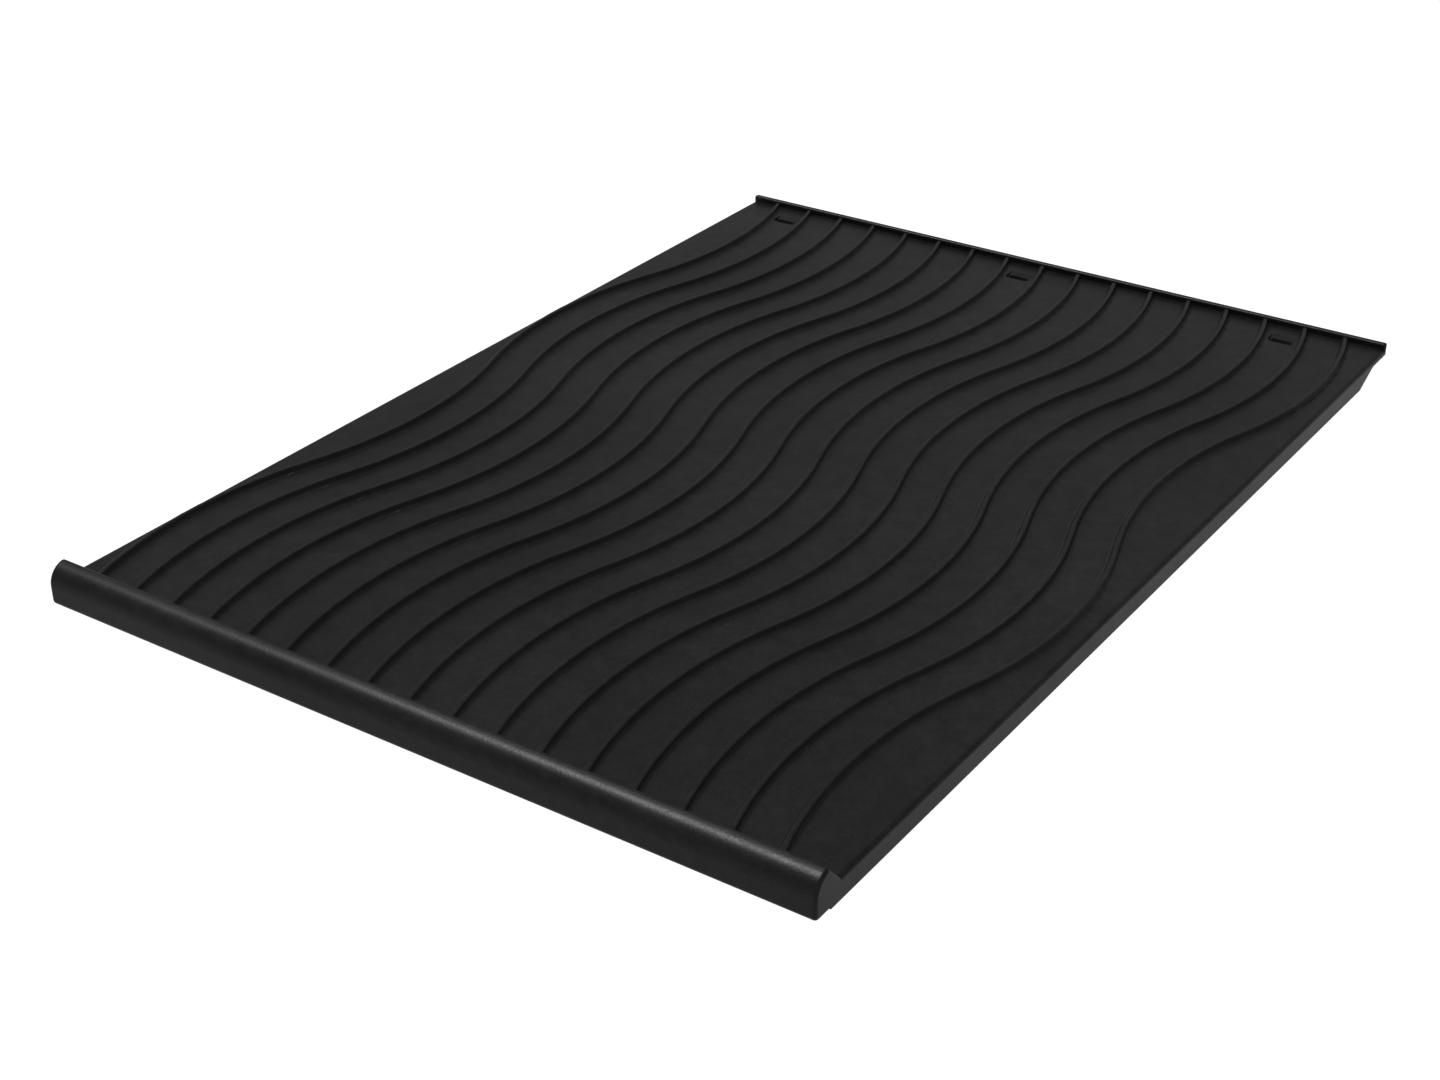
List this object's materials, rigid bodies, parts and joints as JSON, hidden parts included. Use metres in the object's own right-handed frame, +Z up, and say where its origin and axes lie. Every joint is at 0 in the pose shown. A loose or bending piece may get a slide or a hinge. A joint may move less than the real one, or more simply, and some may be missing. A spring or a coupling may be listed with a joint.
{
  "type": "seedling heat mat",
  "caption": "Flat black rigid heat mat with parallel wavy ribs on top, a rounded raised front lip, a low rear rim and drain slots; a heating cable lies inside.",
  "frame": {"origin": "centre of the footprint, on the surface the mat stands on", "axes": "+Z up, +Y from the rounded front lip to the rear rim, +X to the right seen from the front"},
  "size_m": [0.356, 0.5, 0.0173],
  "materials": {
    "shell_black": "satin, fine moulded texture",
    "pan_black": "matt",
    "foot_rubber": "matt",
    "seal_silicone": "matt",
    "screw_steel": "zinc plated",
    "spreader_aluminium": "rolled",
    "cable_silicone": "smooth",
    "pad_foam": "closed-cell foam",
    "cutout_case": "moulded",
    "strap_metal": "pressed",
    "splice_sleeve": "heat-shrink sleeve",
    "lead_red": "insulated wire",
    "lead_black": "insulated wire",
    "clip_plastic": "natural nylon",
    "block_plastic": "natural nylon",
    "contact_brass": "machined",
    "inlet_plastic": "moulded",
    "nut_metal": "nickel plated",
    "cap_rubber": "satin"
  },
  "bodies": {
    "root": {"top_shell": "shell_black", "base_pan": "pan_black", "base_gasket": "seal_silicone", "pan_screws": "screw_steel", "feet": "foot_rubber", "heat_spreader": "spreader_aluminium", "heating_cable": "cable_silicone", "insulation_pad": "pad_foam", "thermal_cutout": "cutout_case", "cutout_strap": "strap_metal", "strap_rivets": "spreader_aluminium", "splice_left": "splice_sleeve", "splice_right": "splice_sleeve", "cutout_lead_supply": "lead_red", "cutout_lead_link": "lead_red", "return_lead": "lead_black", "wire_clips": "clip_plastic", "terminal_block": "block_plastic", "terminal_tubes": "contact_brass", "terminal_screws": "screw_steel", "block_screw": "screw_steel", "inlet_body": "inlet_plastic", "inlet_pin": "contact_brass", "inlet_spring": "contact_brass", "inlet_washer": "seal_silicone", "inlet_nut": "nut_metal", "inlet_lead_positive": "lead_red", "inlet_lead_negative": "lead_black"},
    "cap": {"inlet_cap": "cap_rubber"}
  },
  "joints": [
    {"name": "cap_hinge", "type": "hinge", "parent": "root", "child": "cap", "pos_m": [-0.17695, -0.2408, 0.0104], "axis": [0, 1, 0], "range_deg": [0, 95]}
  ]
}
